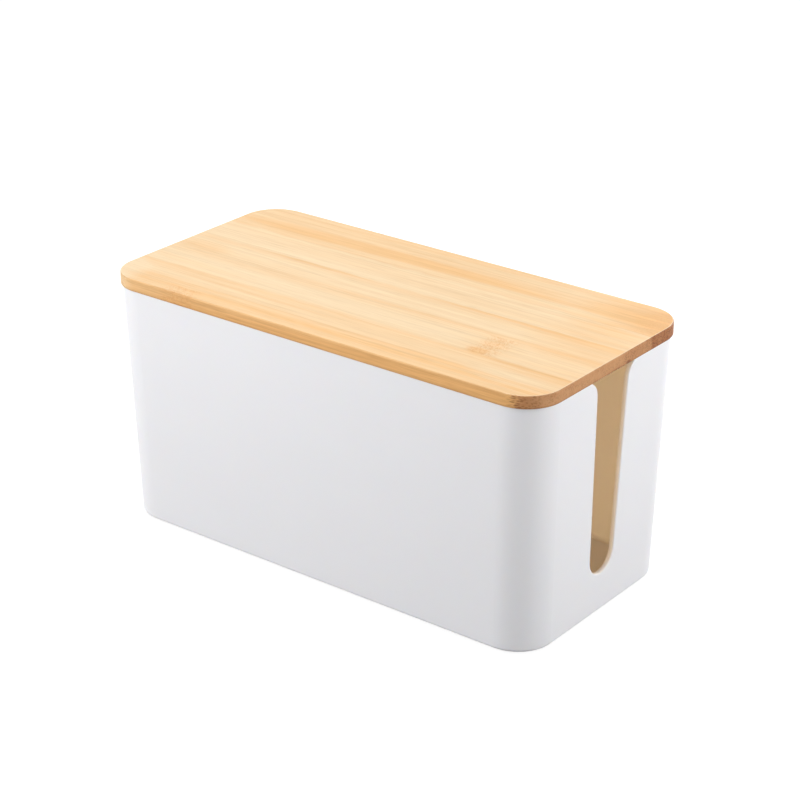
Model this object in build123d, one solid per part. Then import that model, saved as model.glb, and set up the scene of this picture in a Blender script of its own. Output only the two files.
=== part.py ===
"""Cable management box: a moulded tub with a cord slot in each end, a bamboo lid that lifts off, four feet.

Millimetres. +Z is up, X runs along the length and Y from front to back. The origin is on the ground, under
the middle of the box.
"""

from build123d import *

import os
from math import cos, radians, sin, tan

# Overall, measured over the lid
LENGTH = 235.0
WIDTH = 115.0
HEIGHT = 122.0

# Lid board
LID_EDGE = 5.8  # thickness that shows above the rim
LID_STEP = 2.0  # depth of the step that drops inside the rim
LID_CORNER = 17.0  # corner radius in plan
LID_TOP_EASING = 0.6  # rounding of the upper edge
LID_LOWER_EASING = 0.3  # rounding of the lower edges
STEP_CLEARANCE = 0.5  # from the step to the inside of the rim, all round

# Tub
OVERHANG = 0.6  # of the lid past the rim, along the straight sides
CORNER_DIFFERENCE = 0.5  # how much larger the corner radius of the tub is than that of the lid
WALL = 2.4
FLOOR = 3.0
DRAFT = 1.5  # degrees that the walls lean out as they rise
BASE_ROUNDING = 1.5  # outside, between the walls and the underside
INSIDE_ROUNDING = 2.0  # inside, between the walls and the floor
RIM_ROUNDING = 0.6  # edges of the rim and of the slots

# Cord slot, the same in both ends
SLOT_END_RADIUS = 9.0
SLOT_END_HEIGHT = 30.0  # from the ground to the centre of the round end
SLOT_LEAN = 1.8  # degrees that each side of the slot leans out as it rises
SLOT_MOUTH_RADIUS = 8.0  # where the sides turn into the rim

# Feet
FOOT_DIAMETER = 12.0
FOOT_STAND = 2.0  # the part of a foot that stands proud of the underside
FOOT_SEAT = 0.6  # depth of the recess that a foot is glued into
FOOT_CLEARANCE = 0.25  # round a foot in its recess
FOOT_INSET = 16.0  # from the sides of the underside to a foot's centre
FOOT_ROUNDING = 0.5

FLAT = 1e-6  # a direction's share along an axis that counts as none

# Heights and outlines that follow
RIM_Z = HEIGHT - LID_EDGE
BASE_Z = FOOT_STAND
FLOOR_Z = BASE_Z + FLOOR
RIM_LENGTH = LENGTH - 2 * OVERHANG
RIM_WIDTH = WIDTH - 2 * OVERHANG
RIM_CORNER = LID_CORNER + CORNER_DIFFERENCE
CAVITY_LENGTH = RIM_LENGTH - 2 * WALL
CAVITY_WIDTH = RIM_WIDTH - 2 * WALL
CAVITY_CORNER = RIM_CORNER - WALL


def draft_inset(drop):
    """How far a wall has moved in, that far below the rim."""
    return drop * tan(radians(DRAFT))


def drafted_block(length, width, corner, bottom_z, rounding):
    """A block that narrows from the rim down, with round upright corners and a rounded lower edge."""
    block = extrude(Plane.XY.offset(bottom_z) * Rectangle(length, width), amount=RIM_Z - bottom_z)
    walls = block.faces().filter_by(Axis.Z, reverse=True)
    block = draft(walls, Plane.XY.offset(RIM_Z), -DRAFT)
    uprights = block.edges().group_by(Axis.Z)[1]
    block = fillet(uprights, corner)
    return fillet(block.edges().group_by(Axis.Z)[0], rounding)


def slot_cutter():
    """A bar along X that cuts both slots: round at its lower end, with sides that lean out above."""
    lean = radians(SLOT_LEAN)
    side_y = SLOT_END_RADIUS * cos(lean)
    side_z = SLOT_END_HEIGHT - SLOT_END_RADIUS * sin(lean)
    top_y = side_y + (HEIGHT - side_z) * tan(lean)
    round_end = ThreePointArc((-side_y, side_z), (0, SLOT_END_HEIGHT - SLOT_END_RADIUS), (side_y, side_z))
    sides = Polyline((side_y, side_z), (top_y, HEIGHT), (-top_y, HEIGHT), (-side_y, side_z))
    profile = make_face(round_end.edges() + sides.edges())
    return extrude(Plane.YZ * profile, amount=LENGTH / 2, both=True)


def border(faces):
    """The edges round a group of faces: those that only one face of the group has."""
    edges = [edge for face in faces for edge in face.edges()]
    return [edge for edge in edges if sum(edge.is_same(other) for other in edges) == 1]


def foot_places():
    """Names and centres of the four feet, which sit in from the sides of the underside."""
    inset = FOOT_INSET + draft_inset(RIM_Z - BASE_Z)
    x, y = RIM_LENGTH / 2 - inset, RIM_WIDTH / 2 - inset
    sides = {"left": -x, "right": x}
    rows = {"front": -y, "rear": y}
    return {f"foot_{row}_{side}": (sides[side], rows[row]) for row in rows for side in sides}


def box_body():
    """The moulded tub: drafted walls of one thickness, a slot in each end and a recess for each foot."""
    outside = drafted_block(RIM_LENGTH, RIM_WIDTH, RIM_CORNER, BASE_Z, BASE_ROUNDING)
    inside = drafted_block(CAVITY_LENGTH, CAVITY_WIDTH, CAVITY_CORNER, FLOOR_Z, INSIDE_ROUNDING)
    tub = outside - inside - slot_cutter()
    rim_edges = tub.edges().group_by(Axis.Z)[-1]
    mouth_edges = rim_edges.filter_by(lambda edge: abs(edge.center().X) > CAVITY_LENGTH / 2).filter_by(Axis.X)
    tub = fillet(mouth_edges, SLOT_MOUTH_RADIUS)
    end_wall_x = CAVITY_LENGTH / 2 - draft_inset(RIM_Z - FLOOR_Z)
    slot_faces = tub.faces().filter_by(
        lambda face: abs(face.center().X) > end_wall_x and abs(face.normal_at().X) < FLAT
    )
    rim_faces = tub.faces().group_by(Axis.Z)[-1]
    tub = fillet(border([*rim_faces, *slot_faces]), RIM_ROUNDING)
    recess = Cylinder(FOOT_DIAMETER / 2 + FOOT_CLEARANCE, 2 * FOOT_SEAT)
    for x, y in foot_places().values():
        tub -= Pos(x, y, BASE_Z) * recess
    return tub


def slab(length, width, corner, bottom_z, thickness):
    """A flat board with round corners."""
    outline = RectangleRounded(length, width, corner)
    return extrude(Plane.XY.offset(bottom_z) * outline, amount=thickness)


def lid_board():
    """The bamboo board: it lies on the rim, and a step cut round its underside drops inside the rim."""
    board = slab(LENGTH, WIDTH, LID_CORNER, RIM_Z, LID_EDGE)
    board = fillet(board.edges().group_by(Axis.Z)[-1], LID_TOP_EASING)
    board = fillet(board.edges().group_by(Axis.Z)[0], LID_LOWER_EASING)
    step_length = CAVITY_LENGTH - 2 * STEP_CLEARANCE
    step_width = CAVITY_WIDTH - 2 * STEP_CLEARANCE
    step = slab(step_length, step_width, CAVITY_CORNER - STEP_CLEARANCE, RIM_Z - LID_STEP, LID_STEP)
    step = fillet(step.edges().group_by(Axis.Z)[0], LID_LOWER_EASING)
    return board + step


def foot(x, y):
    """A rubber foot, glued into its recess."""
    height = FOOT_STAND + FOOT_SEAT
    pad = Pos(x, y, height / 2) * Cylinder(FOOT_DIAMETER / 2, height)
    return fillet(pad.edges().group_by(Axis.Z)[0], FOOT_ROUNDING)


def main():
    """Write every piece to its own STEP file."""
    pieces = {"box_body": box_body(), "lid_board": lid_board()}
    pieces.update({name: foot(x, y) for name, (x, y) in foot_places().items()})
    os.makedirs("parts", exist_ok=True)
    for name, piece in pieces.items():
        export_step(piece, f"parts/{name}.step")
        print(name, round(piece.volume), "mm3")


main()
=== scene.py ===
"""Cable management box: the finish of every surface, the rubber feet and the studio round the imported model.

Metres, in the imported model's frame: X runs along the box, Y from its front to its rear, and Z up from the
surface that it stands on.
"""

from math import cos, radians, sin, tan

import bmesh
import bpy
from mathutils import Matrix, Quaternion, Vector


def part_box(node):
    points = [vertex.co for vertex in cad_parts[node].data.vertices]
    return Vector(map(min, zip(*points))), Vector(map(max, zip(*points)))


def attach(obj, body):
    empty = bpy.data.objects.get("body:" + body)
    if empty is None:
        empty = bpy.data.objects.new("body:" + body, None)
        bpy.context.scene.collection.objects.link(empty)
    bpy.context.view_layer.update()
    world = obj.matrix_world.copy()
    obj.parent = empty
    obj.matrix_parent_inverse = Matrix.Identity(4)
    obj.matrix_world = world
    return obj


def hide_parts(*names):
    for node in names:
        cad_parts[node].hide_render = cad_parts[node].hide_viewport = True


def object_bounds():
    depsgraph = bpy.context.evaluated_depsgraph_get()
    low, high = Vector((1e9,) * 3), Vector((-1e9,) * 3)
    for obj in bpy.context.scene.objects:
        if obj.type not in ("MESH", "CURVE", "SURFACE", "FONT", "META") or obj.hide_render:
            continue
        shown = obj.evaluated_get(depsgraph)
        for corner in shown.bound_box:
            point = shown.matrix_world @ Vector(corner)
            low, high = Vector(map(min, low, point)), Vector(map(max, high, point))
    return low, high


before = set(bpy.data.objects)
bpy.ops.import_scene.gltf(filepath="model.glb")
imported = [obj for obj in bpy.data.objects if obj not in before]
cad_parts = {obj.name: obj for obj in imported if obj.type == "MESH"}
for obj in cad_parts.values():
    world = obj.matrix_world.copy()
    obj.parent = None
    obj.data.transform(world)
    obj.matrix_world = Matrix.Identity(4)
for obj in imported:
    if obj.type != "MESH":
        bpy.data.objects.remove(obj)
cad_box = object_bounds()

bl_info = {
    "name": "Cable Management Box",
    "version": (1, 0, 0),
    "blender": (4, 5, 0),
    "location": "3D View > Sidebar > Cable Box",
    "description": "Finishes a white cable box with a bamboo lid, and stands it in a pale studio",
    "category": "Object",
}

MM = 0.001
TUB = "box_body"
LID = "lid_board"
FEET = ("foot_front_left", "foot_front_right", "foot_rear_left", "foot_rear_right")
TUB_BODY = "tub"

TINY = 1e-6  # difference in height that counts as none
BASE_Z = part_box(TUB)[0].z  # underside of the tub
RIM_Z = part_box(TUB)[1].z  # top of the tub, where the board lies on it
STEP_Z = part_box(LID)[0].z  # underside of the step that is cut round under the board
TUB_HALF_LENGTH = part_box(TUB)[1].x

# A pair of limits says where something begins to show, and where it shows fully.

# Walls and cord slots, as the tub has them
WALL = 2.4 * MM
WALL_SLOPE = tan(radians(1.5))
SLOT_RADIUS = 9 * MM
SLOT_END_Z = 30 * MM
SLOT_SLOPE = tan(radians(1.8))

# Plastic
SPARK_SIZE = 0.32 * MM  # of the grain that a sparked mould leaves
SPARK_DEPTH = 0.012 * MM
SPARK_STRENGTH = 0.6
SPARK_ROUGHENS = 0.10
FLOW_SIZES = (45 * MM, 45 * MM, 30 * MM)  # of the slow change where the plastic flowed
FLOW_VARIES = 0.008
FLOW_ROUGHENS = 0.06
LIGHT_WEIGHT = 0.15  # of the light that spreads in the plastic
LIGHT_SPREAD = 2.0 * MM
LIGHT_RADIUS = (1.0, 0.7, 0.45)  # how far red, green and blue get, in parts of that spread
# Painted shade on the rounded lower edge of the tub: the faces and the heights that get it
LOWER_EDGE_FACES = (-0.30, -0.60)  # direction along Z
LOWER_EDGE_Z = (BASE_Z + 2 * MM, BASE_Z + 1 * MM)
INSIDE = (-2 * MM, -6 * MM)  # place times direction, which is below 0 on walls that look into the box
SLOT_GLOWS = (4 * MM, 1 * MM)  # distance from the edge of a slot
CUT_FACES = (0.9, 0.6)  # direction along X of the faces that the cut of a slot leaves

# Rubber
TOOTH_SIZE = 0.4 * MM
TOOTH_DEPTH = 0.02 * MM
TOOTH_STRENGTH = 0.8
TOOTH_VARIES = 0.06
TOOTH_ROUGHENS = 0.16

# Feet
FOOT_SIDES = 64
FOOT_EASINGS = (0.5 * MM, 0.2 * MM)  # of the lower and of the upper rim
FOOT_EASING_STEPS = 5
FOOT_RINGS = (  # width of each ring on the way in across the underside, and how far it rises or sinks
    (1.10 * MM, 0.0),
    (0.25 * MM, -0.25 * MM),
    (0.40 * MM, 0.0),
    (0.25 * MM, 0.25 * MM),
    (0.70 * MM, 0.0),
    (0.25 * MM, -0.25 * MM),
    (0.40 * MM, 0.0),
    (0.25 * MM, 0.25 * MM),
    (0.50 * MM, 0.0),
    (0.60 * MM, -0.15 * MM),
)
SMOOTH_ANGLE = radians(30)

# Bamboo: strips are glued side by side across the board, and everything in them runs along X
STRIP_TONES = (0.90, 0.38, 0.06, 0.33, 0.04, 0.55, 0.52)  # from the front strip to the rear, 1 is amber
STRIP_END_TONES = (0.44, 0.05, 0.0, 0.0, 0.30, 1.0, 1.0)  # of their end grain, 1 is dark
SEAM_BLEND = 1.5 * MM  # to each side of a seam, over which one strip's tone turns into the next
SEAM_LINE = (0.45 * MM, 0.12 * MM)  # distance from a seam
SEAM_LEAST = 0.2  # strength of a seam's line where it shows least
SEAM_MORE = 0.6  # what it gains to where it shows most
GRAIN = {  # length and width of one step of the noise, a shift that sets it apart, and its detail
    "bands": (160 * MM, 5 * MM, 0.0, 0.0),
    "streaks": (80 * MM, 2.4 * MM, 11.0, 1.0),
    "narrow": (45 * MM, 1.1 * MM, 19.0, 1.0),
    "fibres": (16 * MM, 0.38 * MM, 23.0, 1.0),
    "lines": (60 * MM, 0.8 * MM, 37.0, 0.0),
    "ticks": (9 * MM, 0.6 * MM, 71.0, 0.0),
    "seam_strength": (55 * MM, 9 * MM, 53.0, 0.0),
}
GRAIN_SHOWS = {  # of the kinds of grain that are there or not
    "lines": (0.12, 0.26),
    "ticks": (0.14, 0.28),
    "seam_strength": (-0.05, 0.10),
}
STRIP_SHIFT = 7.31  # steps by which the grain of a strip is shifted from that of the one before
SWAY_SIZES = (8 * MM, 5 * MM, 5 * MM)  # of the noise that bends the grain
GRAIN_SWAY = 0.5 * MM
KNUCKLE_SWAY = 3.0 * MM  # on top of that, at a knuckle
TONE_SWAY = 3.0 * MM  # of the borders between the strips' tones
ALL_ALONG = 400 * MM  # half length of a band that crosses the whole board
AMBER_BANDS = (  # centre along X and Y, half length and half width, strength
    (-35 * MM, 38.2 * MM, 110 * MM, 7.0 * MM, 0.45),
    (60 * MM, 37.0 * MM, 75 * MM, 3.0 * MM, 0.25),
    (0 * MM, -48.8 * MM, ALL_ALONG, 5.0 * MM, 0.60),
    (-8 * MM, -49.8 * MM, 75 * MM, 2.6 * MM, 0.25),
    (0 * MM, -44.5 * MM, ALL_ALONG, 4.0 * MM, 0.10),
    (122 * MM, 12.0 * MM, 58 * MM, 80.0 * MM, 0.46),
    (120 * MM, 47.0 * MM, 56 * MM, 20.0 * MM, 0.60),
    (120 * MM, 43.0 * MM, 24 * MM, 17.0 * MM, 0.70),
    (-103 * MM, -6.0 * MM, 18 * MM, 9.0 * MM, 0.35),
    (66 * MM, 6.5 * MM, 58 * MM, 1.7 * MM, 0.40),
    (-46 * MM, 6.5 * MM, 38 * MM, 1.7 * MM, 0.40),
    (0 * MM, 4.4 * MM, ALL_ALONG, 2.6 * MM, 0.14),
    (0 * MM, -10.2 * MM, ALL_ALONG, 2.0 * MM, 0.16),
    (0 * MM, -12.6 * MM, ALL_ALONG, 3.0 * MM, 0.12),
    (0 * MM, -31.8 * MM, ALL_ALONG, 2.6 * MM, 0.24),
    (92 * MM, -32.0 * MM, 40 * MM, 1.8 * MM, 0.20),
    (-48 * MM, -38.0 * MM, 60 * MM, 1.6 * MM, 0.30),
    (70 * MM, -22.5 * MM, 20 * MM, 12.0 * MM, 0.25),
    (68 * MM, -28.6 * MM, 7 * MM, 4.0 * MM, 0.75),
    (70 * MM, -20.0 * MM, 7 * MM, 8.0 * MM, 0.35),
    (98 * MM, 22.0 * MM, 24 * MM, 6.0 * MM, 0.30),
    (-85 * MM, 34.0 * MM, 34 * MM, 5.0 * MM, 0.25),
    (-85 * MM, -28.0 * MM, 40 * MM, 4.0 * MM, 0.25),
)
PALE_BANDS = (
    (-10 * MM, -22.0 * MM, 95 * MM, 7.0 * MM, 0.10),
    (-95 * MM, -54.0 * MM, 34 * MM, 5.0 * MM, 0.25),
    (-122 * MM, -52.0 * MM, 24 * MM, 22.0 * MM, 1.20),
    (98 * MM, -45.0 * MM, 30 * MM, 7.0 * MM, 0.50),
    (75 * MM, 33.0 * MM, 24 * MM, 2.6 * MM, 0.15),
    (75 * MM, 43.0 * MM, 24 * MM, 2.6 * MM, 0.15),
)
DARK_LINES = (
    (38 * MM, -48.9 * MM, 32 * MM, 0.9 * MM, 0.9),
    (98 * MM, -32.1 * MM, 30 * MM, 0.9 * MM, 0.6),
    (-50 * MM, -38.1 * MM, 58 * MM, 0.9 * MM, 0.7),
    (-62 * MM, -9.6 * MM, 46 * MM, 0.9 * MM, 0.6),
    (40 * MM, -9.7 * MM, 40 * MM, 0.8 * MM, 0.4),
    (66 * MM, 6.6 * MM, 52 * MM, 0.8 * MM, 0.4),
    (-45 * MM, 6.6 * MM, 34 * MM, 0.8 * MM, 0.4),
    (-20 * MM, 36.4 * MM, 70 * MM, 0.8 * MM, 0.4),
)
ROUGH_CORNER = (  # where the streaks are that much stronger
    (115 * MM, 44 * MM, 32 * MM, 19 * MM, 1.6),
)
KNUCKLES = (  # centre along X, half length, number of the strip counted from the front, strength
    (70.5 * MM, 9.0 * MM, 2, 1.0),
    (-74 * MM, 12.0 * MM, 0, 0.8),
    (118 * MM, 16.0 * MM, 5, 0.5),
    (116 * MM, 15.0 * MM, 6, 0.4),
)
KNUCKLE_ENDS = (1.1, 0.4)  # distance from its centre, in half lengths
DASH_SIZES = (2.1 * MM, 1.3 * MM, 0.8 * MM)  # of the slanting dashes in a knuckle
DASH_TWIST = 1.2
DASHES_SHOW = (0.46, 0.60)
DASH_BASE = 0.1  # strength of a knuckle between its dashes
DASH_MORE = 0.8  # what it gains in them

# What each kind of grain adds: to the amber, to the streaks of the top, of the long edges and of the ends,
# and to the relief under the lacquer
AMBER_SHARES = {"bands": 0.85, "streaks": 0.10}
BURNT_AMBER = 0.9  # beyond which the amber looks burnt
STREAK_BASE = 0.35
STREAK_SHARES = {"streaks": 0.90, "narrow": 0.80, "fibres": 0.85, "lines": 0.20, "ticks": 0.25}
SEAMS_DARKEN = 0.3
DARK_LINES_DARKEN = 0.5
LONG_EDGE_BASE = 0.2
LONG_EDGE_SHARES = {"narrow": 1.5, "fibres": 1.2}
END_BASE = 0.2
END_SHARES = {"saw": 0.8, "streaks": 0.8}
DARK_END_SHARES = {"bands": 0.5}
RELIEF_SHARES = {"fibres": 0.5, "narrow": 0.4, "seam": -0.8, "marks": -0.4}
BUNDLES_SINK = 0.6
RELIEF_DEPTH = 0.03 * MM
RELIEF_STRENGTH = 0.7
FIBRES_ROUGHEN = 0.15
END_ROUGHENS = 0.12
LACQUER_SPECULAR = 0.4

# Ends and edges of the board, by the direction that they face in
UPRIGHT_FACES = (0.93, 0.75)
# Painted highlight on the eased top edge, round the corners: the faces that get it and how strong
RIM_HIGHLIGHT_FACES = (0.997, 0.97)
RIM_HIGHLIGHT_WEIGHT = 0.75
CORNER_BEGINS = (0.02, 0.15)  # along X, from a long edge round to an end
CORNER_ENDS = (0.60, 0.40)
END_FACES = (0.0, 0.30)
END_RAGGED = 0.35  # how much farther round some fibre bundles begin
LATE_LEFT = (0.0, -0.1)  # direction along X of the corner where the end grain begins farther round
LATE_FRONT = (0.0, -10 * MM)  # and its place along Y
LATE_BY = 0.45

# End grain
BUNDLE_SIZES = (30 * MM, 0.8 * MM, 0.65 * MM)  # of the cut fibre bundles
BUNDLE_DOT = (0.55, 0.30)  # distance from the middle of a bundle
CROWD_SIZES = (MM, 7 * MM, 2.5 * MM)  # of the places where bundles crowd, the same all along X
CROWDED = (0.35, 0.75)
BUNDLE_BASE = 0.10
BUNDLE_CROWDED = 0.35
BUNDLE_DARK_END = 1.1
SAW_SIZES = (MM, 0.7 * MM, 14 * MM)  # of the marks of the saw, the same all along X

# Painted shade under the board: along its lower edge, as a line and a spot over a slot, and on the step under
# the board
LOW_EDGE_Z = (RIM_Z + 1.1 * MM, RIM_Z + 0.1 * MM)
LOW_EDGE_WEIGHT = 0.45
SLOT_LINE = (0.0, RIM_Z, 12 * MM, 1.1 * MM)  # centre along Y and Z, half width and half height
SLOT_LINE_WEIGHT = 0.7
PAINTED_SHADOW_SPOT = (9.6 * MM, RIM_Z + 0.4 * MM, 2.6 * MM, 1.6 * MM)
RIGHT_HALF = (0.0, 5 * MM)  # along X, where the spot is
STEP_TOP = (RIM_Z, RIM_Z - 0.2 * MM)
STEP_SIDE = (STEP_Z + 0.1 * MM, STEP_Z + 0.4 * MM)
STEP_BASE = 0.35
STEP_MORE = 0.65

# Studio
LAMPS = (  # name, azimuth and elevation in degrees, distance, size of the square, power in watts
    ("lamp_left", -45.0, 15.0, 1.1, 0.6, 6.1),
    ("lamp_front_left", -30.0, 15.0, 1.1, 0.6, 1.8),
    ("lamp_front", 0.0, 20.0, 1.1, 0.6, 2.75),
    ("lamp_front_high", 0.0, 60.0, 0.5, 0.35, 0.75),
    ("lamp_right", 93.0, 10.0, 0.8, 0.5, 2.79),
    ("lamp_rear_right", 105.0, 25.0, 0.55, 0.35, 0.9),
    ("lamp_rear_left", -120.0, 45.0, 0.6, 0.4, 0.88),
    ("lamp_rear_high", 180.0, 60.0, 0.6, 0.4, 0.45),
    ("lamp_rear", 180.0, 10.0, 0.9, 0.7, 7.5),
)
FLOOR_SIZE = 12.0
FLOOR_GLOW = 0.87  # near the box, to which the lamps add the rest up to white
FLOOR_SHADE = 0.3  # colour of the floor in the light of the lamps
FLOOR_WHITE = (0.25, 0.6)  # distance from the middle
SENSOR_WIDTH = 36.0  # in millimetres, as the lens


def colour_property(name, description, default):
    """A colour in the sidebar."""
    return bpy.props.FloatVectorProperty(
        name=name, description=description, subtype="COLOR", default=default, min=0.0, max=1.0
    )


def share_property(name, description, default):
    """A share between 0 and 1 in the sidebar."""
    return bpy.props.FloatProperty(
        name=name, description=description, subtype="FACTOR", default=default, min=0.0, max=1.0
    )


class BambooSettings(bpy.types.PropertyGroup):
    """What can be changed on the lid board."""

    pale: colour_property("Pale wood", "Colour of the palest bamboo", (0.946, 0.718, 0.448))
    amber: colour_property("Amber wood", "Colour of the amber bands", (0.918, 0.580, 0.268))
    burnt_tint: colour_property(
        "Burnt tint",
        "What the deepest amber keeps of its colour, where several bands meet",
        (0.985, 0.885, 0.660),
    )
    streak_tint: colour_property(
        "Streak tint",
        "What the darkest streaks keep of the colour of the wood round them",
        (0.845, 0.798, 0.726),
    )
    knuckle_tint: colour_property(
        "Knuckle tint",
        "What the short marks keep of it, where the cane had a joint",
        (0.920, 0.785, 0.640),
    )
    edge_tint: colour_property(
        "Long edge tint",
        "What the long edges keep of the colour of the top",
        (0.872, 0.775, 0.645),
    )
    end_grain: colour_property(
        "End grain",
        "Colour of the end grain of the palest strips",
        (0.545, 0.284, 0.126),
    )
    dark_end_tint: colour_property(
        "Dark end tint",
        "What the ends of the darkest strips keep of that colour",
        (0.630, 0.460, 0.330),
    )
    bundle_tint: colour_property(
        "Bundle tint",
        "What the cut fibre bundles in the end grain keep of the colour round them",
        (0.570, 0.480, 0.340),
    )
    # Painted highlight: the pale colour that the eased top edge gets round the corners stands in for light
    # caught there
    rim_highlight_colour: colour_property(
        "Sanded rim",
        "Colour of the sanded rim of the top, round the corners",
        (0.960, 0.800, 0.580),
    )
    # Painted shade: this dark tint stands in for the shade on the step under the board, along its lower edge
    # and over a slot
    painted_shade_tint: colour_property(
        "Rebate tint",
        "What the step cut under the board keeps of the colour of the wood",
        (0.400, 0.275, 0.185),
    )
    strip_width: bpy.props.FloatProperty(
        name="Strip width",
        description="Width of one bamboo strip",
        default=19.6 * MM,
        min=5 * MM,
        max=60 * MM,
        unit="LENGTH",
    )
    first_seam: bpy.props.FloatProperty(
        name="First seam",
        description="Where the seam nearest to the front lies, measured from the middle of the board",
        default=-50.9 * MM,
        unit="LENGTH",
    )
    roughness: share_property("Roughness", "Roughness of the matt lacquer", 0.5)


class PlasticSettings(bpy.types.PropertyGroup):
    """What can be changed on the tub."""

    colour: colour_property("Colour", "Colour of the moulded plastic", (0.853, 0.852, 0.878))
    # Painted shade: a darker tint on the rounded lower edge and the underside that stands in for the shade of
    # the gap under the tub
    lower_edge_shade_tint: colour_property(
        "Lower edge tint",
        "What the rounded lower edge and the underside keep of that colour",
        (0.84, 0.84, 0.84),
    )
    roughness: share_property("Roughness", "Roughness of the satin skin", 0.45)
    glow: share_property(
        "Glow",
        "Share of the light on the far side that shows through on the inside of a wall",
        0.33,
    )
    glow_colour: colour_property(
        "Glow colour",
        "Colour that the plastic gives to light that comes through it",
        (0.94, 0.77, 0.545),
    )
    cut_glow: share_property(
        "Glow of the slot edges",
        "Share of the light in the wall that comes out of it at the outer edge of a slot",
        0.40,
    )
    cut_colour: colour_property(
        "Colour of the slot edges",
        "Colour that the plastic gives to light that comes out at the edge of a slot",
        (0.97, 0.92, 0.86),
    )


class RubberSettings(bpy.types.PropertyGroup):
    """What can be changed on the feet."""

    colour: colour_property("Colour", "Colour of the rubber", (0.60, 0.60, 0.61))
    roughness: share_property("Roughness", "Roughness of the rubber", 0.62)


class StudioSettings(bpy.types.PropertyGroup):
    """What can be changed in the studio."""

    azimuth: bpy.props.FloatProperty(
        name="View azimuth",
        description="Direction that the camera stands in, turned from the front towards the right end",
        default=radians(37.576),
        subtype="ANGLE",
    )
    elevation: bpy.props.FloatProperty(
        name="View elevation",
        description="Height of the camera as an angle above the horizon",
        default=radians(24.276),
        subtype="ANGLE",
    )
    roll: bpy.props.FloatProperty(
        name="View roll",
        description="Turn of the camera about its own line of sight",
        default=radians(0.107),
        subtype="ANGLE",
    )
    distance: bpy.props.FloatProperty(
        name="View distance",
        description="Distance from the camera to the point that it looks at",
        default=1.0149,
        unit="LENGTH",
    )
    aim: bpy.props.FloatVectorProperty(
        name="View aim",
        description="The point that the camera looks at",
        default=(1.45 * MM, 5.61 * MM, 68.89 * MM),
        subtype="XYZ",
        unit="LENGTH",
    )
    lens: bpy.props.FloatProperty(
        name="Lens",
        description="Focal length in millimetres on a 36 mm sensor",
        default=101.62,
    )
    floor_bounce: share_property(
        "Floor bounce",
        "Share of the light on the floor that it throws back at the box",
        0.18,
    )
    ambient: bpy.props.FloatProperty(
        name="Ambient light",
        description="Strength of the light from all round",
        default=0.0,
        min=0.0,
    )


class Signal:
    """A number or colour on its way through a material. Arithmetic on it adds the Math nodes."""

    def __init__(self, finish, socket):
        self.finish = finish
        self.socket = socket

    def maths(self, operation, *values):
        """What a Math node makes of the values."""
        return self.finish.add("ShaderNodeMath", {"operation": operation}, dict(enumerate(values)))

    def __add__(self, other):
        return self.maths("ADD", self, other)

    def __radd__(self, other):
        return self.maths("ADD", other, self)

    def __sub__(self, other):
        return self.maths("SUBTRACT", self, other)

    def __rsub__(self, other):
        return self.maths("SUBTRACT", other, self)

    def __mul__(self, other):
        return self.maths("MULTIPLY", self, other)

    def __truediv__(self, other):
        return self.maths("DIVIDE", self, other)

    def __abs__(self):
        return self.maths("ABSOLUTE", self)

    def floor(self):
        return self.maths("FLOOR", self)

    def fraction(self):
        return self.maths("FRACT", self)

    def root(self):
        return self.maths("SQRT", self)

    def least(self, other):
        return self.maths("MINIMUM", self, other)

    def most(self, other):
        return self.maths("MAXIMUM", self, other)

    def within(self):
        """The number kept between 0 and 1."""
        return self.most(0.0).least(1.0)


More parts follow.
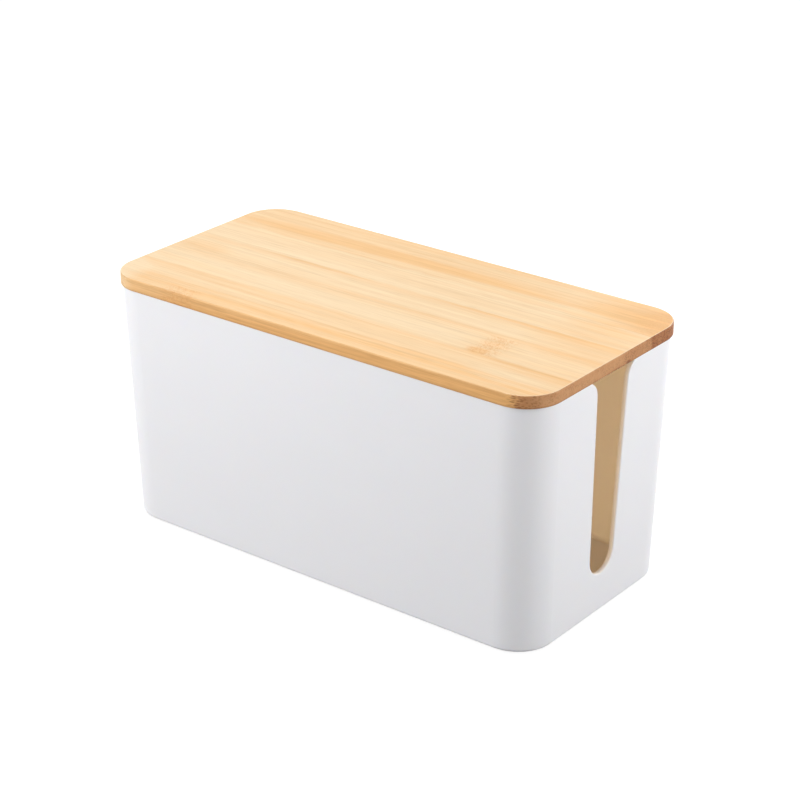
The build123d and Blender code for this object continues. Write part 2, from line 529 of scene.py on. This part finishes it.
class Finish:
    """A material, or a world, in the making: nodes are added one by one and joined up by their inputs."""

    def __init__(self, owner):
        self.owner = owner
        owner.use_nodes = True
        owner.node_tree.nodes.clear()

    def add(self, kind, settings=None, inputs=None, output=0):
        """Adds a node: first its settings, then the values or links of its sockets."""
        tree = self.owner.node_tree
        node = tree.nodes.new(kind)
        for name, setting in (settings or {}).items():
            setattr(node, name, setting)
        for name, value in (inputs or {}).items():
            if isinstance(value, Signal):
                tree.links.new(value.socket, node.inputs[name])
            else:
                node.inputs[name].default_value = value
        return Signal(self, node.outputs[output]) if node.outputs else None

    def parts(self, vector):
        """The three parts of a vector."""
        first = self.add("ShaderNodeSeparateXYZ", None, {"Vector": vector})
        return [Signal(self, socket) for socket in first.socket.node.outputs]

    def place(self):
        """The three coordinates of the point on the piece."""
        return self.parts(self.add("ShaderNodeTexCoord", output="Object"))

    def facing(self):
        """The three parts of the direction that the surface faces in."""
        return self.parts(self.add("ShaderNodeNewGeometry", output="Normal"))

    def scaled(self, place, sizes):
        """The vector to a place, counted in steps of those three sizes."""
        steps = (part / size for part, size in zip(place, sizes))
        return self.add("ShaderNodeCombineXYZ", None, dict(zip("XYZ", steps)))

    def noise(self, place, sizes, detail=0.0, distortion=0.0):
        """Smooth noise from 0 to 1, in steps of about those three sizes."""
        return self.add(
            "ShaderNodeTexNoise",
            {"noise_dimensions": "3D"},
            {"Vector": self.scaled(place, sizes), "Scale": 1.0, "Detail": detail, "Distortion": distortion},
        )

    def cells(self, place, sizes):
        """Distance to the middle of the nearest of many scattered cells of those three sizes."""
        return self.add(
            "ShaderNodeTexVoronoi",
            {"voronoi_dimensions": "3D", "feature": "F1"},
            {"Vector": self.scaled(place, sizes), "Scale": 1.0},
            output="Distance",
        )

    def step(self, value, begins, full):
        """A smooth step from 0, where the value begins, to 1, where it is full."""
        return self.add(
            "ShaderNodeMapRange",
            {"interpolation_type": "SMOOTHSTEP"},
            {"Value": value, "From Min": begins, "From Max": full},
        )

    def patch(self, x, y, centre_x, centre_y, half_x, half_y):
        """1 in the middle of a soft-edged oval, and 0 outside it."""
        along = (x - centre_x) / half_x
        across = (y - centre_y) / half_y
        return self.step(along * along + across * across, 1.0, 0.0)

    def patches(self, x, y, places):
        """Several soft ovals added up, each times its strength."""
        total = 0.0
        for *oval, strength in places:
            total = self.patch(x, y, *oval) * strength + total
        return total

    def blend(self, factor, first, second, way="MIX"):
        """Two colours mixed by the factor."""
        return self.add(
            "ShaderNodeMix",
            {"data_type": "RGBA", "blend_type": way},
            {0: factor, 6: first, 7: second},
            output=2,
        )

    def tint(self, colour, keeps, factor):
        """A colour multiplied by a tint, as far as the factor says."""
        return self.blend(factor, colour, rgba(keeps), "MULTIPLY")

    def varied(self, factor, colour, share):
        """A colour that is lighter by that share where the factor is 0, and darker by it where it is 1."""
        return self.blend(factor, rgba(colour, 1 + share), rgba(colour, 1 - share))

    def bump(self, height, depth, strength):
        """A surface normal from a height between 0 and 1, where 1 is that deep in metres."""
        return self.add("ShaderNodeBump", None, {"Height": height, "Distance": depth, "Strength": strength})

    def shader(self, **inputs):
        """A Principled shader, whose sockets are given by name with _ for a space."""
        named = {name.replace("_", " "): value for name, value in inputs.items()}
        return self.add("ShaderNodeBsdfPrincipled", None, named)

    def shine_through(self, colour):
        """Light from the far side of a thin wall."""
        return self.add("ShaderNodeBsdfTranslucent", None, {"Color": rgba(colour)})

    def mix(self, factor, first, second):
        """Two shaders mixed by the factor."""
        return self.add("ShaderNodeMixShader", None, {0: factor, 1: first, 2: second})

    def surface(self, shader, end="ShaderNodeOutputMaterial"):
        """Ends the material in a shader."""
        self.add(end, None, {"Surface": shader})
        return self.owner


def rgba(colour, scale=1.0):
    """A colour, lighter or darker by that factor, with full alpha."""
    return (*(channel * scale for channel in colour), 1.0)


def grey(value):
    """A grey, from black at 0 to white at 1, with full alpha."""
    return (value, value, value, 1.0)


class Bamboo(Finish):
    """Glued bamboo strips in the making, with the grain that their top, edges and ends have in common."""

    def __init__(self, settings):
        super().__init__(bpy.data.materials.new("lacquered_bamboo"))
        self.settings = settings
        self.x, self.y, self.z = self.place()
        across = (self.y - settings.first_seam) / settings.strip_width
        share = across.fraction()
        to_seam = share.least(1 - share) * settings.strip_width
        self.strip = across.floor() + 1  # counted from the front
        self.section = (0.0, self.y, self.z)  # the same all along the board

        knuckle = self.knuckles()
        sway = self.noise((self.x, self.y, self.z), SWAY_SIZES) - 0.5
        self.bent_y = self.y + sway * (GRAIN_SWAY + knuckle * KNUCKLE_SWAY)
        self.wavy_y = self.y + sway * TONE_SWAY

        self.grain = {name: self.drawn_out(*kind) for name, kind in GRAIN.items()}
        for name, shows in GRAIN_SHOWS.items():
            self.grain[name] = self.step(self.grain[name], *shows)
        seam = self.step(to_seam, *SEAM_LINE)
        self.grain["seam"] = seam * (SEAM_LEAST + self.grain["seam_strength"] * SEAM_MORE)
        slanting = (self.x - self.y, self.x + self.y, self.z)
        dashes = self.noise(slanting, DASH_SIZES, detail=1.0, distortion=DASH_TWIST)
        self.grain["marks"] = knuckle * (DASH_BASE + self.step(dashes, *DASHES_SHOW) * DASH_MORE)
        self.grain["saw"] = self.noise(self.section, SAW_SIZES, detail=1.0) - 0.5

    def drawn_out(self, length, width, shift, detail):
        """Noise about 0 in steps of that length and width, and another on every strip."""
        along = self.x + (self.strip * STRIP_SHIFT + shift) * length
        return self.noise((along, self.bent_y, self.z), (length, width, width), detail) - 0.5

    def knuckles(self):
        """1 where the cane had a joint, from seam to seam of the strip that has it."""
        total = 0.0
        for centre_x, half_length, number, strength in KNUCKLES:
            along = self.step(abs(self.x - centre_x) / half_length, *KNUCKLE_ENDS)
            across = 1 - abs(self.strip - number).least(1.0)
            total = along * across * strength + total
        return total

    def strip_tones(self, tones):
        """The tone of each glued strip, with a short change at every seam."""
        tone = tones[0]
        for number, (nearer, farther) in enumerate(zip(tones, tones[1:])):
            seam = self.settings.first_seam + number * self.settings.strip_width
            change = self.step(self.wavy_y, seam - SEAM_BLEND, seam + SEAM_BLEND)
            tone = change * (farther - nearer) + tone
        return tone

    def added_up(self, shares, base=0.0):
        """Kinds of grain added up, each times its share, on top of the base."""
        total = base
        for name, share in shares.items():
            total = self.grain[name] * share + total
        return total

    def top(self):
        """Colour of the top: pale to amber, with streaks, seams, dark lines and knuckles."""
        settings = self.settings
        amber = self.added_up(AMBER_SHARES, self.strip_tones(STRIP_TONES))
        amber = amber + self.patches(self.x, self.bent_y, AMBER_BANDS)
        amber = amber - self.patches(self.x, self.bent_y, PALE_BANDS)
        wood = self.blend(amber.within(), rgba(settings.pale), rgba(settings.amber))
        wood = self.tint(wood, settings.burnt_tint, (amber - BURNT_AMBER).within())

        streaked = self.added_up(STREAK_SHARES, STREAK_BASE)
        streaked = streaked * (1 + self.patches(self.x, self.y, ROUGH_CORNER))
        streaked = streaked + self.grain["seam"] * SEAMS_DARKEN
        streaked = streaked + self.patches(self.x, self.bent_y, DARK_LINES) * DARK_LINES_DARKEN
        wood = self.tint(wood, settings.streak_tint, streaked)
        return self.tint(wood, settings.knuckle_tint, self.grain["marks"])

    def long_edge(self, top):
        """Colour of the long edges, where the strips are seen from the side."""
        wood = self.tint(top, self.settings.edge_tint, 1.0)
        return self.tint(wood, self.settings.streak_tint, self.added_up(LONG_EDGE_SHARES, LONG_EDGE_BASE))

    def end_grain(self, bundles):
        """Colour of the ends, with the marks of the saw and dots for the cut fibre bundles."""
        settings = self.settings
        dark = self.added_up(DARK_END_SHARES, self.strip_tones(STRIP_END_TONES))
        crowding = self.step(self.noise(self.section, CROWD_SIZES), *CROWDED)
        dots = crowding * BUNDLE_CROWDED + dark.most(0.0) * BUNDLE_DARK_END + BUNDLE_BASE
        self.grain["bundles"] = self.step(bundles, *BUNDLE_DOT) * dots
        wood = self.tint(rgba(settings.end_grain), settings.dark_end_tint, dark)
        wood = self.tint(wood, settings.knuckle_tint, self.added_up(END_SHARES, END_BASE))
        return self.tint(wood, settings.bundle_tint, self.grain["bundles"])

    def painted_shade_below(self):
        """How dark the painted shade is on the lower edge, on the line and the spot over a slot, and on the
        step under the board.
        """
        edge = self.step(self.z, *LOW_EDGE_Z) * LOW_EDGE_WEIGHT
        line = self.patch(self.y, self.z, *SLOT_LINE) * SLOT_LINE_WEIGHT
        spot = self.patch(self.y, self.z, *PAINTED_SHADOW_SPOT) * self.step(self.x, *RIGHT_HALF)
        side = self.step(self.z, *STEP_SIDE) * STEP_MORE + STEP_BASE
        under = self.step(self.z, *STEP_TOP) * side
        return spot.most(line.most(edge)).most(under)


def bamboo(settings):
    """Matt lacquered bamboo, with one colour for the top, one for the long edges and one for the ends."""
    board = Bamboo(settings)
    facing_x, _, facing_z = board.facing()
    turned = abs(facing_x)
    upright = board.step(abs(facing_z), *UPRIGHT_FACES)
    corner = board.step(turned, *CORNER_BEGINS) * board.step(turned, *CORNER_ENDS)
    # Painted highlight on the eased top edge round the corners
    rim = board.step(facing_z, *RIM_HIGHLIGHT_FACES) * (1 - upright) * corner * RIM_HIGHLIGHT_WEIGHT
    bundles = board.cells((board.x, board.y, board.z), BUNDLE_SIZES)
    late = board.step(facing_x, *LATE_LEFT) * board.step(board.y, *LATE_FRONT)
    end = board.step(turned - bundles * END_RAGGED - late * LATE_BY, *END_FACES)

    top = board.top()
    sides = board.blend(end, board.long_edge(top), board.end_grain(bundles))
    wood = board.blend(rim, top, rgba(settings.rim_highlight_colour))
    wood = board.blend(upright, wood, sides)
    # Painted shade under the board, along its lower edge, over a slot and on the step
    wood = board.tint(wood, settings.painted_shade_tint, board.painted_shade_below())

    end_faces = end * upright
    relief = board.added_up(RELIEF_SHARES) - board.grain["bundles"] * end_faces * BUNDLES_SINK
    return board.surface(
        board.shader(
            Base_Color=wood,
            Roughness=board.grain["fibres"] * FIBRES_ROUGHEN + end_faces * END_ROUGHENS + settings.roughness,
            Normal=board.bump(relief, RELIEF_DEPTH, RELIEF_STRENGTH),
            Specular_IOR_Level=LACQUER_SPECULAR,
        )
    )


def moulded_plastic(settings):
    """Satin white plastic: a fine sparked grain from the mould, and a faint slow change where it flowed.

    The walls are thin, so the faces that look into the box glow warm with light that comes through them.
    """
    finish = Finish(bpy.data.materials.new("satin_white_plastic"))
    x, y, z = finish.place()
    facing_x, facing_y, facing_z = finish.facing()
    sparks = finish.noise((x, y, z), (SPARK_SIZE, SPARK_SIZE, SPARK_SIZE), detail=2.0)
    flow = finish.noise((x, y, z), FLOW_SIZES, detail=1.0)
    # Painted shade: the rounded lower edge and the underside are darkened as if in the shade of the gap under
    # the tub
    painted_lower_edge_shade = finish.step(facing_z, *LOWER_EDGE_FACES) * finish.step(z, *LOWER_EDGE_Z)
    colour = finish.varied(flow, settings.colour, FLOW_VARIES)
    skin = finish.shader(
        Base_Color=finish.tint(colour, settings.lower_edge_shade_tint, painted_lower_edge_shade),
        Roughness=(sparks - 0.5) * SPARK_ROUGHENS + (flow - 0.5) * FLOW_ROUGHENS + settings.roughness,
        Normal=finish.bump(sparks, SPARK_DEPTH, SPARK_STRENGTH),
        Subsurface_Weight=LIGHT_WEIGHT,
        Subsurface_Radius=LIGHT_RADIUS,
        Subsurface_Scale=LIGHT_SPREAD,
    )
    inside = finish.step(x * facing_x + y * facing_y, *INSIDE)
    wall = finish.mix(inside * settings.glow, skin, finish.shine_through(settings.glow_colour))

    below = (SLOT_END_Z - z).most(0.0)
    above = (z - SLOT_END_Z).most(0.0)
    from_slot = (y * y + below * below).root() - SLOT_RADIUS - above * SLOT_SLOPE
    cut = inside.most(finish.step(abs(facing_x), *CUT_FACES))
    depth = TUB_HALF_LENGTH - abs(x) - (RIM_Z - z) * WALL_SLOPE  # from the outside of the end wall
    share = finish.step(from_slot, *SLOT_GLOWS) * cut * finish.step(depth, WALL, 0.0) * settings.cut_glow
    return finish.surface(finish.mix(share, wall, finish.shine_through(settings.cut_colour)))


def rubber(settings):
    """Matt rubber with a fine tooth."""
    finish = Finish(bpy.data.materials.new("matt_grey_rubber"))
    tooth = finish.noise(finish.place(), (TOOTH_SIZE, TOOTH_SIZE, TOOTH_SIZE), detail=2.0)
    return finish.surface(
        finish.shader(
            Base_Color=finish.varied(tooth, settings.colour, TOOTH_VARIES),
            Roughness=(tooth - 0.5) * TOOTH_ROUGHENS + settings.roughness,
            Normal=finish.bump(tooth, TOOTH_DEPTH, TOOTH_STRENGTH),
        )
    )


def set_finish(piece, material):
    """Gives a piece its material."""
    piece.data.materials.clear()
    piece.data.materials.append(material)


class CABLEBOX_OT_tub(bpy.types.Operator):
    """Gives the moulded tub its satin white plastic"""

    bl_idname = "cablebox.tub"
    bl_label = "Finish the tub"

    def execute(self, context):
        set_finish(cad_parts[TUB], moulded_plastic(context.scene.cablebox_plastic))
        return {"FINISHED"}


class CABLEBOX_OT_lid(bpy.types.Operator):
    """Gives the lid board its lacquered bamboo"""

    bl_idname = "cablebox.lid"
    bl_label = "Finish the lid"

    def execute(self, context):
        set_finish(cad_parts[LID], bamboo(context.scene.cablebox_bamboo))
        return {"FINISHED"}


def pick(piece, kind, wanted):
    """In edit mode, selects the faces or the edges that the test wants, and nothing else."""
    bpy.ops.mesh.select_mode(type=kind)
    bpy.ops.mesh.select_all(action="DESELECT")
    shape = bmesh.from_edit_mesh(piece.data)
    for each in shape.faces if kind == "FACE" else shape.edges:
        if wanted(each):
            each.select_set(True)
    bmesh.update_edit_mesh(piece.data)


def mould_foot(low, high):
    """A round pad with eased rims, two ring grooves and a shallow dish in its underside."""

    def level(part, z):
        return all(abs(corner.co.z - z) < TINY for corner in part.verts)

    bpy.ops.object.select_all(action="DESELECT")
    bpy.ops.mesh.primitive_cylinder_add(
        vertices=FOOT_SIDES, radius=(high.x - low.x) / 2, depth=high.z - low.z, location=(low + high) / 2
    )
    foot = bpy.context.object
    bpy.ops.object.transform_apply(location=True, rotation=False, scale=False)
    bpy.ops.object.mode_set(mode="EDIT")
    for z, easing in zip((low.z, high.z), FOOT_EASINGS):
        pick(foot, "EDGE", lambda edge: level(edge, z))
        bpy.ops.mesh.bevel(offset=easing, segments=FOOT_EASING_STEPS)
    pick(foot, "FACE", lambda face: level(face, low.z))
    for width, rise in FOOT_RINGS:
        bpy.ops.mesh.inset(thickness=width, depth=rise)
    bpy.ops.object.mode_set(mode="OBJECT")
    bpy.ops.object.shade_smooth_by_angle(angle=SMOOTH_ANGLE)
    return foot


class CABLEBOX_OT_feet(bpy.types.Operator):
    """Moulds a rubber foot and glues a copy of it into each recess"""

    bl_idname = "cablebox.feet"
    bl_label = "Mould the feet"

    def execute(self, context):
        material = rubber(context.scene.cablebox_rubber)
        low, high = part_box(FEET[0])
        pattern = mould_foot(low, high)
        for name in FEET:
            foot = pattern if name == FEET[0] else pattern.copy()
            if foot is not pattern:
                foot.data = pattern.data.copy()
                foot.data.transform(Matrix.Translation(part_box(name)[0] - low))
                context.collection.objects.link(foot)
            foot.name = name.replace("foot", "rubber_pad")
            set_finish(foot, material)
            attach(foot, TUB_BODY)
            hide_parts(name)
        return {"FINISHED"}


def seen_directly(finish):
    """1 for the camera's rays, and for what glossy and clear surfaces show of their surroundings."""
    camera = finish.add("ShaderNodeLightPath", output="Is Camera Ray")
    outputs = camera.socket.node.outputs
    glossy = Signal(finish, outputs["Is Glossy Ray"])
    clear = Signal(finish, outputs["Is Transmission Ray"])
    return camera.most(glossy).most(clear)


def add_floor(bounce):
    """A wide white floor that keeps the box's shadow, is plain white farther off and clear from below."""
    bpy.ops.object.select_all(action="DESELECT")
    bpy.ops.mesh.primitive_plane_add(size=FLOOR_SIZE)
    floor = bpy.context.object
    floor.name = "studio_floor"
    finish = Finish(bpy.data.materials.new("studio_floor"))
    point = finish.add("ShaderNodeTexCoord", output="Object")
    away = finish.add("ShaderNodeVectorMath", {"operation": "LENGTH"}, {0: point}, output="Value")
    strength = finish.step(away, *FLOOR_WHITE) * (1 - FLOOR_GLOW) + FLOOR_GLOW
    glow = finish.add("ShaderNodeEmission", None, {"Strength": strength})
    lit = finish.add("ShaderNodeBsdfDiffuse", None, {"Color": grey(FLOOR_SHADE)})
    shown = finish.add("ShaderNodeAddShader", None, {0: glow, 1: lit})
    from_below = finish.add("ShaderNodeNewGeometry", output="Backfacing")
    clear = finish.add("ShaderNodeBsdfTransparent")
    bouncing = finish.add("ShaderNodeBsdfDiffuse", None, {"Color": grey(bounce)})
    shown = finish.mix(from_below, shown, clear)
    floor.data.materials.append(finish.surface(finish.mix(seen_directly(finish), bouncing, shown)))


def add_world(ambient):
    """White to the eye, and a dim even light on the box."""
    finish = Finish(bpy.data.worlds.new("studio"))
    light = finish.add("ShaderNodeBackground", None, {"Strength": ambient})
    white = finish.add("ShaderNodeBackground", None, {"Color": grey(1.0), "Strength": 1.0})
    shown = finish.mix(seen_directly(finish), light, white)
    bpy.context.scene.world = finish.surface(shown, "ShaderNodeOutputWorld")


def seen_from(azimuth, elevation):
    """The direction from the box to a place round it. Azimuth 0 is in front, and 90 beyond the right end."""
    level = cos(elevation)
    return Vector((sin(azimuth) * level, -cos(azimuth) * level, sin(elevation)))


def add_lamp(name, azimuth, elevation, distance, size, power):
    """A soft square light that faces the middle of the box."""
    middle = (cad_box[0] + cad_box[1]) / 2
    direction = seen_from(radians(azimuth), radians(elevation))
    turn = direction.to_track_quat("Z", "Y").to_euler()
    bpy.ops.object.light_add(type="AREA", location=middle + direction * distance, rotation=turn)
    lamp = bpy.context.object
    lamp.name = name
    lamp.data.shape = "SQUARE"
    lamp.data.size = size
    lamp.data.energy = power


def add_camera(settings):
    """The camera at its angle, which the render looks through."""
    direction = seen_from(settings.azimuth, settings.elevation)
    place = Vector(settings.aim) + direction * settings.distance
    turn = direction.to_track_quat("Z", "Y") @ Quaternion((0.0, 0.0, 1.0), settings.roll)
    bpy.ops.object.camera_add(location=place, rotation=turn.to_euler())
    camera = bpy.context.object
    camera.name = "studio_camera"
    camera.data.lens = settings.lens
    camera.data.sensor_width = SENSOR_WIDTH
    bpy.context.scene.camera = camera


class CABLEBOX_OT_stage(bpy.types.Operator):
    """Adds the floor, the background, the lamps and the camera"""

    bl_idname = "cablebox.stage"
    bl_label = "Build the studio"

    def execute(self, context):
        settings = context.scene.cablebox_studio
        add_floor(settings.floor_bounce)
        add_world(settings.ambient)
        for lamp in LAMPS:
            add_lamp(*lamp)
        add_camera(settings)
        context.scene.view_settings.view_transform = "Standard"
        return {"FINISHED"}


class CABLEBOX_PT_sidebar(bpy.types.Panel):
    """The steps that dress the cable box, and their settings"""

    bl_idname = "CABLEBOX_PT_sidebar"
    bl_label = "Cable Box"
    bl_space_type = "VIEW_3D"
    bl_region_type = "UI"
    bl_category = "Cable Box"

    def draw(self, context):
        for name, step in STEPS.items():
            settings = getattr(context.scene, f"cablebox_{name}")
            column = self.layout.column(align=True)
            column.operator(f"cablebox.{step}")
            for setting in settings.bl_rna.properties:
                if setting.identifier not in ("rna_type", "name"):
                    column.prop(settings, setting.identifier)


STEPS = {"plastic": "tub", "bamboo": "lid", "rubber": "feet", "studio": "stage"}
SETTINGS = {
    "plastic": PlasticSettings,
    "bamboo": BambooSettings,
    "rubber": RubberSettings,
    "studio": StudioSettings,
}
CLASSES = (
    *SETTINGS.values(),
    CABLEBOX_OT_tub,
    CABLEBOX_OT_lid,
    CABLEBOX_OT_feet,
    CABLEBOX_OT_stage,
    CABLEBOX_PT_sidebar,
)


def register():
    """Adds the steps, the panel and the scene's settings."""
    for each in CLASSES:
        bpy.utils.register_class(each)
    for name, group in SETTINGS.items():
        setattr(bpy.types.Scene, f"cablebox_{name}", bpy.props.PointerProperty(type=group))


def unregister():
    """Takes them away again."""
    for name in SETTINGS:
        delattr(bpy.types.Scene, f"cablebox_{name}")
    for each in reversed(CLASSES):
        bpy.utils.unregister_class(each)


def main():
    """Dresses the box."""
    register()
    bpy.ops.object.select_all(action="DESELECT")
    for step in STEPS.values():
        getattr(bpy.ops.cablebox, step)()


if __name__ == "__main__":
    main()
